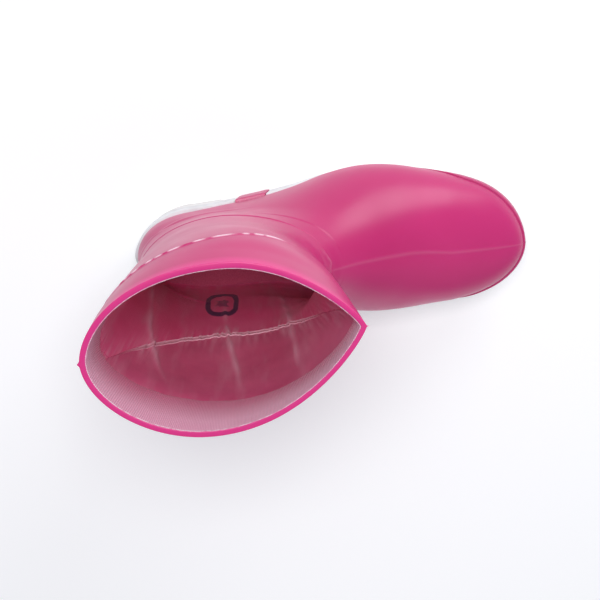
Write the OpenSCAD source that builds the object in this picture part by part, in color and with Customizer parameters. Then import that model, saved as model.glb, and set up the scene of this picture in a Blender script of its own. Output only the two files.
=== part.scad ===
// Wellington boot for the left foot: an injection-moulded shell over a knitted lining, on a cleated
// outsole with a foxing band, two arch tabs and a toe bumper.
// The frame: +X to the toe, +Y to the outer side, +Z up, origin on the ground under the heel's centre.

/* [Boot] */
// Height of the leg's top edge above the ground
leg_h = 265; // [255:1:280]
// Distance from the heel's centre to the back of the sole
heel_back = 36; // [34:0.5:38]
// Distance from the heel's centre to the tip of the sole
toe_tip = 254; // [250:0.5:258]

/* [Shell and lining] */
// Wall of the moulded shell
shell_t = 2.6; // [2:0.1:3]
// Thickness of the knitted lining
lining_t = 1.1; // [0.8:0.1:1.5]
// Clearance between bonded layers
gap = 0.3; // [0.2:0.05:0.5]
// Width of the tape over the lining's seam
tape_w = 4; // [3:0.5:6]

/* [Sole] */
// Thickness of the foxing band
foxing_t = 2.4; // [2:0.1:3]
// Height of the foxing band
foxing_h = 13; // [12:0.5:14]
// Depth of the tread's pockets
tread_d = 4.5; // [3:0.5:5]
// Width of a tread pocket along the foot
pocket_w = 6; // [5:0.5:7]
// Distance between tread pockets
pocket_pitch = 12; // [11:0.5:14]
// Thickness of the board under the footbed
board_t = 1.5; // [1:0.25:2]
// Thickness of the loose footbed
footbed_t = 4; // [3:0.5:5]

/* [Toe bumper and tabs] */
// How far the toe bumper stands off the shell
bumper_t = 1.6; // [1:0.1:2]
// Height of the toe bumper
bumper_h = 12; // [10:1:16]
// How far an arch tab stands off the foxing band
tab_proud = 0.9; // [0.5:0.1:1.5]
// How far the foxing's ends stay from an arch tab
tab_gap = 0.6; // [0.4:0.1:1]

/* [Hidden] */
$fn = 48;

OUTER = 1;      // the side towards the little toe, +Y
INNER = -1;     // the side towards the big toe, -Y
TURNS = 48;     // points round one ring of the shell
TOE_RINGS = 9;  // rings of the rounded toe

// A ring is a closed loop round the boot. Its axis runs from a front point, on the shin or the vamp, to
// a back point, on the calf, the heel or the sole. Each row is: front x, front z, back x, back z,
// front y, back y, outer half-width, inner half-width, where the loop is widest on the outer and inner
// side (0 at the front point, 1 at the back), how pinched the front and back are, and how much of the
// width comes from the foot's own outline.
RINGS = [
    [119, leg_h, -47, leg_h - 2, 3.5, -9, 46, 58, 0.47, 0.58, 1.70, 1.12, 0],        // top edge
    [117, leg_h - 18, -45.5, leg_h - 20, 2.5, -9, 49.5, 54.5, 0.47, 0.53, 1.50, 1.12, 0],
    [113, leg_h - 38, -43, leg_h - 40, 1.5, -8, 52, 51.5, 0.45, 0.50, 1.28, 1.18, 0], // trim line
    [107, 191, -39, 189, 0.5, -5, 50, 49, 0.46, 0.50, 1.15, 1.24, 0],                // calf
    [101.5, 158, -34, 152, 0, -2, 45.5, 45, 0.48, 0.50, 1.06, 1.22, 0],
    [99.5, 134, -30, 120, 0, 0, 42, 41.5, 0.49, 0.50, 1.00, 1.20, 0],                // ankle
    [105, 118.5, -28, 90, 0, 0, 40.5, 39.5, 0.51, 0.51, 0.98, 1.20, 0.1],            // throat
    [113.5, 110.5, -29.5, 62, 0, 0, 39, 37.5, 0.54, 0.54, 0.95, 1.18, 0.4],
    [121.5, 104, -33, 38, 0, 0, 37, 36, 0.58, 0.58, 0.93, 0.92, 0.75],               // heel
    [129.5, 98.5, -26.5, 26.8, 0, 0, 36, 35, 0.66, 0.66, 0.92, 0.78, 1],
    [137.5, 93.8, 0, 25.5, 0, 0, 36, 35, 0.70, 0.70, 0.91, 0.50, 1],                 // instep
    [146, 89.3, 30, 23.6, 0, 0, 38, 35, 0.73, 0.73, 0.90, 0.42, 1],
    [155.5, 84.8, 64, 21.3, 0, 0, 44, 37, 0.75, 0.75, 0.90, 0.46, 1],                // waist
    [166, 80.3, 98, 19.3, 0, 0, 52, 44, 0.76, 0.76, 0.90, 0.62, 1],
    [176.5, 76.3, 132, 18.3, -1, -1, 58, 51, 0.75, 0.75, 0.90, 0.80, 1],             // ball
    [186.5, 73, 165, 18.2, -2.5, -2.5, 55, 51, 0.75, 0.75, 0.90, 0.82, 1],
    [196, 70.2, 196, 19.2, -4, -4, 50, 49, 0.75, 0.75, 0.90, 0.82, 1],               // toe joint
];
LAST = len(RINGS) - 1;
RINGS_END = LAST + 8.9;  // the last ring of the toe, just short of its tip
SEAM_RING = 4.95;    // the ring of the lining's seam, at the side of the leg
SEAM_FRONT = 2.8;    // how many rings higher the seam stands at the front
SEAM_BACK = 4.2;     // and at the back, if the cuff didn't end it sooner
RING_STEP = 28;      // distance between two rings where the seam lies

// Half-widths of the sole and of the widest part of the shell, every 25 mm from x = 10 forwards
KNOT_X = 10;
KNOT_STEP = 25;
SOLE_OUT = [33.3, 36, 39.4, 44, 50, 53, 52.5, 49, 44, 41, 40];
SOLE_IN = [34.5, 34.5, 34, 37, 43.5, 48, 49, 47.8, 46.2, 45.5, 45.5];
SHELL_OUT = [33, 35.5, 39, 45, 53, 57.6, 56.6, 51.3, 45.6, 44.8, 44.8];
SHELL_IN = [33, 33, 33, 37.5, 46, 51.4, 51.8, 49.5, 47.4, 47.2, 47.2];

TOE_START = 196;                    // where the toe begins to round off
TOE_Y = -6.5;                       // the toe's tip leans to the inner side
TOE_Z = 33;                         // height of the toe's foremost point
TOE_SLOPE = 0.22;                   // how fast the toe's top comes down before it rounds off
SHELL_TIP = toe_tip + 0.4;
UNDER_Z = [25, 23.4, 21.5, 20, 18.8, 18.2, 18.2, 18.8, 20.4, 23.6, 28]; // shell's underside, same knots
EDGE_Z = [34, 31, 28.5, 26.5, 24.5, 23, 23, 24.5, 27, 30, 32]; // the foxing's top edge, same knots
GROUND_Z = [[-40, 0], [29, 0], [34, 10.5], [60, 9.5], [88, 3.5], [108, 0], [188, 0], [212, 1.5], [236, 4.5],
    [262, 10]];                     // the side view of the tread's face
ARCH_X = [39, 61];                  // the arch tab along the foxing's top edge
ARCH_RAKE = 5;                      // how much further forward the tab is at its lower edge
TREAD_RIM = 7;                      // sole left whole round the tread's pockets
HEEL_TREAD = [-18, 18];             // first and last tread pocket of the heel
BALL_TREAD = [120, 205];            // first and last tread pocket of the forepart
HEEL_PAD = 7;                       // radius of the plain pad at the heel's centre
CORE_X = [-16, 22];                 // back and front of the core inside the heel
CORE_W = 34;                        // width of that core
CORE_Z = [7, 19];                   // its underside and top
FLOOR_INSET = 8;                    // the board and footbed stay this far inside the sole's edge
CUFF_RING = 1.75;                   // the ring where the lining's cuff ends
BUMPER_X = 168;                     // where the toe bumper's ends are
OUTLINE_STEPS = 14;                 // outline points round a quarter of the heel or the toe
HEEL_TAPER = 1.2;                   // above 1, the heel's outline is narrower than an ellipse

// Smooth curve through the values of a list, at a place counted in steps; values may be vectors
function smooth(list, s) =
    let (
        n = len(list) - 1,
        place = max(0, min(n, s)),
        i = min(floor(place), n - 1),
        t = place - i,
        a = list[max(i - 1, 0)],
        b = list[i],
        c = list[i + 1],
        d = list[min(i + 2, n)]
    )
    0.5 * (2 * b + (c - a) * t + (2 * a - 5 * b + 4 * c - d) * t * t + (3 * b - a - 3 * c + d) * t * t * t);

function at_x(list, x) = smooth(list, (x - KNOT_X) / KNOT_STEP);
function shell_width(x, side) = at_x(side > 0 ? SHELL_OUT : SHELL_IN, x);
function power(v, e) = v <= 0 ? 0 : pow(v, e);

// One ring of the toe, from the toe joint (0) to the tip (1)
function toe_ring(s) =
    let (
        joint = RINGS[LAST],
        round_off = cos(90 * s),
        x = TOE_START + (SHELL_TIP - TOE_START) * sin(90 * s),
        top = joint[1] - TOE_SLOPE * (x - TOE_START),
        base = at_x(UNDER_Z, x),
        lean = joint[4] + (TOE_Y - joint[4]) * sin(90 * s),
        crown = power(round_off, 0.55),
        welt = power(round_off, 0.5)
    )
    [x, TOE_Z + (top - TOE_Z) * crown, x, TOE_Z - (TOE_Z - base) * welt, lean, lean,
        lean + (shell_width(x, OUTER) - lean) * round_off, (shell_width(x, INNER) + lean) * round_off - lean,
        joint[8], joint[9], joint[10], joint[11], 0];

// The ring at a place counted in rings; the toe follows the last row of RINGS
function ring(u) = u <= LAST ? smooth(RINGS, u) : toe_ring(min((u - LAST) / TOE_RINGS, 1));

// How far an inset moves an end of the axis, given the path of that end and the axis's direction
function along_axis(inset, path, dir) =
    let (sine = abs(path[0] * dir[1] - path[1] * dir[0]) / max(norm(path), 0.001))
    inset / max(sine, 0.45);

// A point of the boot's surface, or of one that lies an inset inside it. Angle 0 is at the front point,
// 90 on the outer side and 180 at the back point.
function skin(u, angle, inset = 0) =
    let (
        r = ring(u),
        before = ring(max(u - 0.05, 0)),
        after = ring(min(u + 0.05, LAST + TOE_RINGS - 0.05)),
        turn = u > LAST ? 90 * min((u - LAST) / TOE_RINGS, 1) : 0,
        shrink = inset * sin(turn),
        inward = inset * cos(turn),
        front = [r[0] - shrink, r[1]],
        back = [r[2] - shrink, r[3]],
        dir = (back - front) / max(norm(back - front), 0.001),
        from = front + dir * along_axis(inward, [after[0] - before[0], after[1] - before[1]], dir),
        to = back - dir * along_axis(inward, [after[2] - before[2], after[3] - before[3]], dir),
        side = sin(angle) >= 0 ? OUTER : INNER,
        place = side > 0 ? r[8] : r[9],
        widest = from + (to - from) * place,
        forward = cos(angle) >= 0,
        square = forward ? (r[12] > 0.5 ? r[10] : 1) : (r[12] > 0.5 ? r[11] : 1),
        pinch = forward ? r[10] : r[11],
        reach = power(abs(cos(angle)), square),
        spot = widest + (forward ? from - widest : to - widest) * reach,
        spread = power(abs(sin(angle)), pinch),
        own = (side > 0 ? r[6] : r[7]),
        foot = shell_width(spot[0], side),
        half = own + (foot - own) * r[12] - inward,
        axis_y = r[4] + (r[5] - r[4]) * (1 - (forward ? 1 : -1) * reach) / 2
    )
    [spot[0], axis_y + side * (half - side * axis_y) * spread, spot[1]];

// The whole loop at a list of ring places, one for each point
function loop_at(places, inset) =
    [for (k = [0 : TURNS - 1]) skin(places[k], 360 * k / TURNS, inset)];
function level(u) = [for (k = [0 : TURNS - 1]) u];
function mix(a, b, t) = a * (1 - t) + b * t;
function seam_at(shift) = [for (k = [0 : TURNS - 1]) let (
        angle = 360 * k / TURNS,
        from_side = abs(angle % 180 - 90) / 90,
        rise = cos(angle) > 0 ? SEAM_FRONT * pow(from_side, 2.4) : SEAM_BACK * pow(from_side, 1.6))
    shift + max(SEAM_RING - rise, CUFF_RING + 0.2)];

// Triangles between two neighbouring loops of points, and from a loop to one tip
function band(a, b) = [for (k = [0 : TURNS - 1]) let (n = (k + 1) % TURNS)
    each [[a + k, a + n, b + n], [a + k, b + n, b + k]]];
function fan(a, tip) = [for (k = [0 : TURNS - 1]) [a + k, a + (k + 1) % TURNS, tip]];
function flipped(faces) = [for (f = faces) [f[2], f[1], f[0]]];
function centre(points) = [for (i = [0 : 2]) sum([for (p = points) p[i]]) / len(points)];
function sum(v, i = 0) = i == len(v) ? 0 : v[i] + sum(v, i + 1);

// A solid through a row of loops, closed at both ends, or joined end to end when it is a wall
module loft(loops, wall = false) {
    n = len(loops);
    tips = [centre(loops[0]), centre(loops[n - 1])];
    sides = [for (i = [0 : n - 2]) each band(i * TURNS, (i + 1) * TURNS)];
    ends = wall
        ? band((n - 1) * TURNS, 0)
        : concat(flipped(fan(0, n * TURNS)), fan((n - 1) * TURNS, n * TURNS + 1));
    polyhedron(concat([for (l = loops) each l], wall ? [] : tips), concat(sides, ends));
}

// A wall of the boot open at both ends, between two places and two insets
module sleeve(top, bottom, outside, inside, rows) {
    outer_loops = [for (i = [0 : rows]) loop_at(mix(top, bottom, i / rows), outside)];
    inner_loops = [for (i = [0 : rows]) loop_at(mix(top, bottom, 1 - i / rows), inside)];
    loft(concat(outer_loops, inner_loops), wall = true);
}

// A wall of the boot that is closed round the toe
module sock(top, rows, outside, inside) {
    foot = level(RINGS_END);
    places = concat([for (i = [0 : rows]) mix(top, level(LAST), i / rows)],
        [for (i = [1 : TOE_RINGS - 1]) level(LAST + i)], [foot]);
    n = len(places);
    outer_loops = [for (p = places) each loop_at(p, outside)];
    inner_loops = [for (p = places) each loop_at(p, inside)];
    tips = [centre(loop_at(foot, outside)), centre(loop_at(foot, inside))];
    outer_faces = [for (i = [0 : n - 2]) each band(i * TURNS, (i + 1) * TURNS)];
    inner_faces = [for (i = [n : 2 * n - 2]) each band(i * TURNS, (i + 1) * TURNS)];
    polyhedron(concat(outer_loops, inner_loops, tips), concat(
        outer_faces, fan((n - 1) * TURNS, 2 * n * TURNS),
        flipped(inner_faces), flipped(fan((2 * n - 1) * TURNS, 2 * n * TURNS + 1)),
        flipped(band(0, n * TURNS))));
}

// The whole space of the foot, from the throat forwards, as a solid
module foot_space(inset) {
    loft(concat([for (u = [6 : LAST]) loop_at(level(u), inset)],
        [for (i = [1 : TOE_RINGS - 1]) loop_at(level(LAST + i), inset)], [loop_at(level(RINGS_END), inset)]));
}

// The sole's outline, moved in by an inset: heel, side and toe of the outer side, then back
function edge_side(side, inset) =
    let (
        heel_len = KNOT_X + heel_back - inset,
        toe_len = toe_tip - TOE_START - inset,
        widths = side > 0 ? SOLE_OUT : SOLE_IN,
        heel = [for (i = [0 : OUTLINE_STEPS - 1]) let (a = 90 * i / OUTLINE_STEPS)
            [KNOT_X - heel_len * cos(a), side * (widths[0] - inset) * pow(sin(a), HEEL_TAPER)]],
        waist = [for (i = [0 : 12]) let (x = KNOT_X + (TOE_START - KNOT_X) * i / 12)
            [x, side * (at_x(widths, x) - inset)]],
        toe = [for (i = [1 : OUTLINE_STEPS]) let (
                a = 90 * i / OUTLINE_STEPS,
                x = TOE_START + toe_len * sin(a),
                lean = TOE_Y * sin(a))
            [x, lean + side * (at_x(widths, x) - inset - side * lean) * cos(a)]]
    )
    concat(heel, waist, toe);

function reversed(v) = [for (i = [len(v) - 1 : -1 : 0]) v[i]];
function outline(inset) =
    let (outer_side = edge_side(OUTER, inset), inner_side = edge_side(INNER, inset))
    concat(outer_side, [for (i = [len(inner_side) - 2 : -1 : 1]) inner_side[i]]);

// The upper edges of a side view, from back to front: the list's height plus a rise
function side_view(list, rise) =
    [for (x = [-40 : 12.5 : 265]) [x, at_x(list, x) + rise]];

// A slab across the whole boot whose side view lies between two edges
module slab(lower, upper) {
    rotate([90, 0, 0])
        linear_extrude(height = 160, center = true)
            polygon(concat(lower, reversed(upper)));
}

// A prism over the sole's outline, up to above the foxing
module prism(inset) {
    translate([0, 0, -1])
        linear_extrude(height = 60)
            polygon(outline(inset));
}

// The tread's pockets, from one place along the foot to another
module pockets(span) {
    for (x = [span[0] : pocket_pitch : span[1]])
        translate([x - pocket_w / 2, -60, -1])
            cube([pocket_w, 120, tread_d + 1]);
}

module outsole() {
    color("whitesmoke") difference() {
        intersection() {
            prism(foxing_t);
            slab(GROUND_Z, side_view(EDGE_Z, -0.4));
        }
        foot_space(0);
        intersection() {
            translate([0, 0, -2])
                linear_extrude(height = 12)
                    difference() {
                        polygon(outline(foxing_t + TREAD_RIM));
                        circle(r = HEEL_PAD);
                    }
            union() {
                pockets(HEEL_TREAD);
                pockets(BALL_TREAD);
            }
        }
        core_block(0);
    }
}

// The block inside the heel, smaller all round by a clearance
module core_block(clearance) {
    translate([CORE_X[0] + clearance, clearance - CORE_W / 2, CORE_Z[0] + clearance])
        cube([CORE_X[1] - CORE_X[0] - 2 * clearance, CORE_W - 2 * clearance,
            CORE_Z[1] - CORE_Z[0] - 2 * clearance]);
}

module heel_core() {
    color("lightgray") core_block(gap / 2);
}

// The foxing's band all round the boot
module foxing_ring(outside, inside) {
    difference() {
        intersection() {
            prism(outside);
            slab(side_view(EDGE_Z, -foxing_h), side_view(EDGE_Z, 0));
        }
        prism(inside);
        foot_space(0);
    }
}

// The slanted block that an arch tab takes up on one side
module arch_block(side, grow) {
    scale([1, side, 1])
        rotate([90, 0, 180])
            mirror([1, 0, 0])
                linear_extrude(height = 80)
                    polygon([[ARCH_X[0] - grow, 40], [ARCH_X[1] + grow, 40],
                        [ARCH_X[1] + 2 * ARCH_RAKE + grow, 0], [ARCH_X[0] + 2 * ARCH_RAKE - grow, 0]]);
}

module rear_foxing() {
    color("white") difference() {
        foxing_ring(0, foxing_t);
        translate([ARCH_X[0] + ARCH_RAKE, -100, 0])
            cube([300, 200, 60]);
        arch_block(OUTER, tab_gap);
        arch_block(INNER, tab_gap);
    }
}

module front_foxing() {
    color("white") difference() {
        foxing_ring(0, foxing_t);
        translate([ARCH_X[1] + ARCH_RAKE - 300, -100, 0])
            cube([300, 200, 60]);
        arch_block(OUTER, tab_gap);
        arch_block(INNER, tab_gap);
    }
}

module arch_tab(side) {
    intersection() {
        foxing_ring(-tab_proud, foxing_t);
        arch_block(side, 0);
    }
}

module arch_tab_outer() {
    color("hotpink") arch_tab(OUTER);
}

module arch_tab_inner() {
    color("hotpink") arch_tab(INNER);
}

module shell() {
    color("hotpink") sock(level(0), LAST, 0, shell_t);
}

module toe_bumper() {
    color("deeppink") difference() {
        intersection() {
            foot_space(-bumper_t);
            slab(side_view(EDGE_Z, 0.2), side_view(EDGE_Z, bumper_h));
            translate([BUMPER_X, -100, 0])
                cube([100, 200, 60]);
        }
        foot_space(0);
    }
}

module lining_cuff() {
    color("pink") sleeve(level(0.04), level(CUFF_RING), shell_t + gap, shell_t + gap + lining_t, 4);
}

module lining_leg() {
    color("mediumvioletred")
        sleeve(level(CUFF_RING + 0.02), seam_at(0), shell_t + gap, shell_t + gap + lining_t, 5);
}

module lining_foot() {
    color("mediumvioletred") sock(seam_at(0.02), 12, shell_t + gap, shell_t + gap + lining_t);
}

module lining_seam_tape() {
    inside = shell_t + 2 * gap + lining_t;
    half = tape_w / 2 / RING_STEP;
    color("pink") sleeve(seam_at(-half), seam_at(half), inside, inside + lining_t / 2, 1);
}

// A layer of the boot's floor, between two heights above the lining
module floor_layer(lower, upper) {
    lining_in = shell_t + gap + lining_t;
    intersection() {
        prism(FLOOR_INSET);
        slab(side_view(UNDER_Z, lining_in + lower), side_view(UNDER_Z, lining_in + upper));
        foot_space(lining_in + gap);
    }
}

module insole_board() {
    color("tan") floor_layer(gap, gap + board_t);
}

module footbed() {
    color("plum") floor_layer(gap + board_t + 0.1, gap + board_t + footbed_t);
}

outsole();
heel_core();
rear_foxing();
front_foxing();
arch_tab_outer();
arch_tab_inner();
shell();
toe_bumper();
lining_cuff();
lining_leg();
lining_foot();
lining_seam_tape();
insole_board();
footbed();
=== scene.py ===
import math
import bpy
from mathutils import Matrix, Vector, noise
from mathutils.bvhtree import BVHTree


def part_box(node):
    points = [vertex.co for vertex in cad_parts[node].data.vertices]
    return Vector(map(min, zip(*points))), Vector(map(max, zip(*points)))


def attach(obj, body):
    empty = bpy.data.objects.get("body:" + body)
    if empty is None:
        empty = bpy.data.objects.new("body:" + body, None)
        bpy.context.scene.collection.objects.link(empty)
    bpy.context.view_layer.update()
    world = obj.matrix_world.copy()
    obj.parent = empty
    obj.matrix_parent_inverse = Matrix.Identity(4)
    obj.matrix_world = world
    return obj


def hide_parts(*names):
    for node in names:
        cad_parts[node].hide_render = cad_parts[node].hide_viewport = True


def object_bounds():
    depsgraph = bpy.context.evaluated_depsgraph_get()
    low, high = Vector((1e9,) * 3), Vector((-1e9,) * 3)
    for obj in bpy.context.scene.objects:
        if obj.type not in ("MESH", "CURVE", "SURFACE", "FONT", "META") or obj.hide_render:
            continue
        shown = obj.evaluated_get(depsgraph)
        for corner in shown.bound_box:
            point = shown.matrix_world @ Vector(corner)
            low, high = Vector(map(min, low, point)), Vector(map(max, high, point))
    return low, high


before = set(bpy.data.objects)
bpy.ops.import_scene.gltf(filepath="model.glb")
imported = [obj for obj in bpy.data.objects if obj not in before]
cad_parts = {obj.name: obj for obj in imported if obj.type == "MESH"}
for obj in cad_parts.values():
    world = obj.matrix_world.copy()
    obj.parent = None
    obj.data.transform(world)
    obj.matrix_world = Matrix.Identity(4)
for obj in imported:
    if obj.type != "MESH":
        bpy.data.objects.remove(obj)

cadLow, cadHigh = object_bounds()
mm = 0.001

# camera, aimed down into the leg from above and the outer side
cameraView = {
    "place": (0.07159, 0.20912, 0.95016),
    "forward": (0.014, -0.264, -0.964),
    "right": (0.998, -0.059, 0.031),
    "lens": 75.35,
}


def makeCamera():
    data = bpy.data.cameras.new("camera")
    data.lens = cameraView["lens"]
    data.sensor_width = 36
    camera = bpy.data.objects.new("camera", data)
    bpy.context.scene.collection.objects.link(camera)
    forward = Vector(cameraView["forward"]).normalized()
    right = Vector(cameraView["right"])
    right = (right - forward * right.dot(forward)).normalized()
    turn = Matrix((right, right.cross(forward), -forward)).transposed()
    camera.matrix_world = Matrix.Translation(cameraView["place"]) @ turn.to_4x4()
    bpy.context.scene.camera = camera


# shape of the boot, in millimetres: the same rings as the frame's shell, from the rim down to the toe
# front x z, back x z, front y, back y, outer and inner half-width, where they are widest,
# pinch of the front and of the back, and how much the foot's own outline counts
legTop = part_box("shell")[1].z / mm
rings = [
    (119, legTop, -47, legTop - 2, 3.5, -9, 46, 58, 0.47, 0.58, 1.70, 1.12, 0),
    (117, legTop - 18, -45.5, legTop - 20, 2.5, -9, 49.5, 54.5, 0.47, 0.53, 1.50, 1.12, 0),
    (113, legTop - 38, -43, legTop - 40, 1.5, -8, 52, 51.5, 0.45, 0.50, 1.28, 1.18, 0),
    (107, 191, -39, 189, 0.5, -5, 50, 49, 0.46, 0.50, 1.15, 1.24, 0),
    (101.5, 158, -34, 152, 0, -2, 45.5, 45, 0.48, 0.50, 1.06, 1.22, 0),
    (99.5, 134, -30, 120, 0, 0, 42, 41.5, 0.49, 0.50, 1.00, 1.20, 0),
    (105, 118.5, -28, 90, 0, 0, 40.5, 39.5, 0.51, 0.51, 0.98, 1.20, 0.1),
    (113.5, 110.5, -29.5, 62, 0, 0, 39, 37.5, 0.54, 0.54, 0.95, 1.18, 0.4),
    (121.5, 104, -33, 38, 0, 0, 37, 36, 0.58, 0.58, 0.93, 0.92, 0.75),
    (129.5, 98.5, -26.5, 26.8, 0, 0, 36, 35, 0.66, 0.66, 0.92, 0.78, 1),
    (137.5, 93.8, 0, 25.5, 0, 0, 36, 35, 0.70, 0.70, 0.91, 0.50, 1),
    (146, 89.3, 30, 23.6, 0, 0, 38, 35, 0.73, 0.73, 0.90, 0.42, 1),
    (155.5, 84.8, 64, 21.3, 0, 0, 44, 37, 0.75, 0.75, 0.90, 0.46, 1),
    (166, 80.3, 98, 19.3, 0, 0, 52, 44, 0.76, 0.76, 0.90, 0.62, 1),
    (176.5, 76.3, 132, 18.3, -1, -1, 58, 51, 0.75, 0.75, 0.90, 0.80, 1),
    (186.5, 73, 165, 18.2, -2.5, -2.5, 55, 51, 0.75, 0.75, 0.90, 0.82, 1),
    (196, 70.2, 196, 19.2, -4, -4, 50, 49, 0.75, 0.75, 0.90, 0.82, 1),
]
lastRing = len(rings) - 1
# the rings' columns, each with one more step, so that its smooth curve runs straight on into the toe
ringColumns = [column + (2 * column[-1] - column[-2],) for column in zip(*rings)]
# the foot's outlines and heights in rows: the first value is at knotX, the others are knotStep apart
foot = {
    "knotX": 10, "knotStep": 25, "heelBack": 36, "heelTaper": 1.2, "toeTip": 254, "shellPastTip": 0.4,
    "toeStart": 196, "toeRings": 9, "toeY": -6.5, "toeZ": 33,
    "toeSlope": 0.295, "toeCurve": 0.00129, "crownRound": 0.55, "underRound": 0.5,
    "soleOuter": (33.3, 36, 39.4, 44, 50, 53, 52.5, 49, 44, 41, 40),
    "soleInner": (34.5, 34.5, 34, 37, 43.5, 48, 49, 47.8, 46.2, 45.5, 45.5),
    "shellOuter": (33, 35.5, 39, 45, 53, 57.6, 56.6, 51.3, 45.6, 44.8, 44.8),
    "shellInner": (33, 33, 33, 37.5, 46, 51.4, 51.8, 49.5, 47.4, 47.2, 47.2),
    "under": (25, 23.4, 21.5, 20, 18.8, 18.2, 18.2, 18.8, 20.4, 23.6, 28),
    "edge": (34, 31, 28.5, 26.5, 24.5, 23, 23, 24.5, 27, 30, 32),
}
toeEnd = lastRing + foot["toeRings"]
leastSine = 0.45


def smooth(values, place):
    # a smooth curve through a row of numbers
    last = len(values) - 1
    place = max(0, min(last, place))
    i = min(int(place), last - 1)
    t = place - i
    a, b = values[max(i - 1, 0)], values[i]
    c, d = values[i + 1], values[min(i + 2, last)]
    return 0.5 * (2 * b + (c - a) * t + (2 * a - 5 * b + 4 * c - d) * t * t
                  + (3 * b - a - 3 * c + d) * t * t * t)


def ease(low, high, value):
    t = max(0.0, min(1.0, (value - low) / (high - low)))
    return t * t * (3 - 2 * t)


def between(value, start, full, fade, end):
    # 1 from full to fade, easing off to 0 at start and end
    return ease(start, full, value) * (1 - ease(fade, end, value))


def along(name, x):
    # a value of one of the foot's rows
    return smooth(foot[name], (x - foot["knotX"]) / foot["knotStep"])


def power(value, exponent):
    return value ** exponent if value > 0 else 0.0


def ring(u):
    # one ring's row of numbers; past the last row the rings close round the toe
    if u <= lastRing:
        return [smooth(column, u) for column in ringColumns]
    s = min((u - lastRing) / foot["toeRings"], 1)
    joint = rings[lastRing]
    turn = math.radians(90 * s)
    roundOff = math.cos(turn)
    x = foot["toeStart"] + (foot["toeTip"] + foot["shellPastTip"] - foot["toeStart"]) * math.sin(turn)
    ahead = x - foot["toeStart"]
    top = joint[1] - foot["toeSlope"] * ahead + foot["toeCurve"] * ahead * ahead
    lean = joint[4] + (foot["toeY"] - joint[4]) * math.sin(turn)
    toeZ = foot["toeZ"]
    return [x, toeZ + (top - toeZ) * power(roundOff, foot["crownRound"]),
            x, toeZ - (toeZ - along("under", x)) * power(roundOff, foot["underRound"]), lean, lean,
            lean + (along("shellOuter", x) - lean) * roundOff,
            (along("shellInner", x) + lean) * roundOff - lean,
            joint[8], joint[9], joint[10], joint[11], 0]


ringCache = {}


def ringFrame(u, inset):
    # the ring's axis from front to back, shortened so that the wall lies an inset deeper
    key = (round(u, 5), round(inset, 4))
    if key not in ringCache:
        r = ring(u)
        before = ring(max(u - 0.05, 0))
        after = ring(min(u + 0.05, toeEnd - 0.05))
        turn = math.radians(90 * max(0, min((u - lastRing) / foot["toeRings"], 1)))
        shrink, inward = inset * math.sin(turn), inset * math.cos(turn)
        front = Vector((r[0] - shrink, r[1]))
        back = Vector((r[2] - shrink, r[3]))
        axis = (back - front) / max((back - front).length, 0.001)

        def shift(i):
            path = Vector((after[i] - before[i], after[i + 1] - before[i + 1]))
            sine = abs(path.x * axis.y - path.y * axis.x) / max(path.length, 0.001)
            return axis * (inward / max(sine, leastSine))
        ringCache[key] = (r, front + shift(0), back - shift(2), inward)
    return ringCache[key]


def skin(u, angle, inset):
    # a point of the boot's wall; angle 0 is at the front, 90 degrees on the outer side
    r, front, back, inward = ringFrame(u, inset)
    side = 1 if math.sin(angle) >= 0 else -1
    forward = math.cos(angle) >= 0
    widest = front + (back - front) * (r[8] if side > 0 else r[9])
    pinch = r[10] if forward else r[11]
    square = pinch if r[12] > 0.5 else 1
    if u > lastRing:
        square = 1 + (pinch - 1) * (1 - ease(lastRing, toeEnd, u))
    reach = power(abs(math.cos(angle)), square)
    spot = widest + ((front if forward else back) - widest) * reach
    own = r[6] if side > 0 else r[7]
    width = along("shellOuter" if side > 0 else "shellInner", spot.x)
    half = own + (width - own) * r[12] - inward
    middle = r[4] + (r[5] - r[4]) * (1 - (1 if forward else -1) * reach) / 2
    spread = power(abs(math.sin(angle)), pinch)
    return Vector((spot.x, middle + side * (half - side * middle) * spread, spot.y))


def outlinePoint(side, place):
    # the sole's outline on one side: 0 to 1 round the heel, 1 to 2 the waist and ball, 2 to 3 the toe
    widths = "soleOuter" if side > 0 else "soleInner"
    if place < 1:
        turn = math.radians(90 * place)
        length = foot["knotX"] + foot["heelBack"]
        return Vector((foot["knotX"] - length * math.cos(turn),
                       side * foot[widths][0] * power(math.sin(turn), foot["heelTaper"])))
    if place < 2:
        x = foot["knotX"] + (foot["toeStart"] - foot["knotX"]) * (place - 1)
        return Vector((x, side * along(widths, x)))
    turn = math.radians(90 * (place - 2))
    x = foot["toeStart"] + (foot["toeTip"] - foot["toeStart"]) * math.sin(turn)
    lean = foot["toeY"] * math.sin(turn)
    return Vector((x, lean + side * (along(widths, x) - side * lean) * math.cos(turn)))


def placeOfX(x):
    # where along the sole's outline the waist and ball have this x
    return 1 + (x - foot["knotX"]) / (foot["toeStart"] - foot["knotX"])


# mesh building
meshValues = {
    "mergeGap": 0.000002, "nodeMergeGap": 0.00002,
    "flatAngle": 0.6, "edgeAngle": 38, "smoothAngle": 35,
}


def newPiece(name, points, faces, smoothAngle=40, paintMask=None):
    mesh = bpy.data.meshes.new(name)
    mesh.from_pydata([Vector(p) * mm for p in points], [], faces)
    if paintMask:
        wornAndHighlight = mesh.attributes.new("paintMask", "FLOAT", "POINT")
        wornAndHighlight.data.foreach_set("value", paintMask)
    piece = bpy.data.objects.new(name, mesh)
    bpy.context.scene.collection.objects.link(piece)
    finishMesh(piece, smoothAngle)
    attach(piece, "root")
    return piece


def pick(piece):
    bpy.ops.object.select_all(action="DESELECT")
    piece.select_set(True)
    bpy.context.view_layer.objects.active = piece


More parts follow.
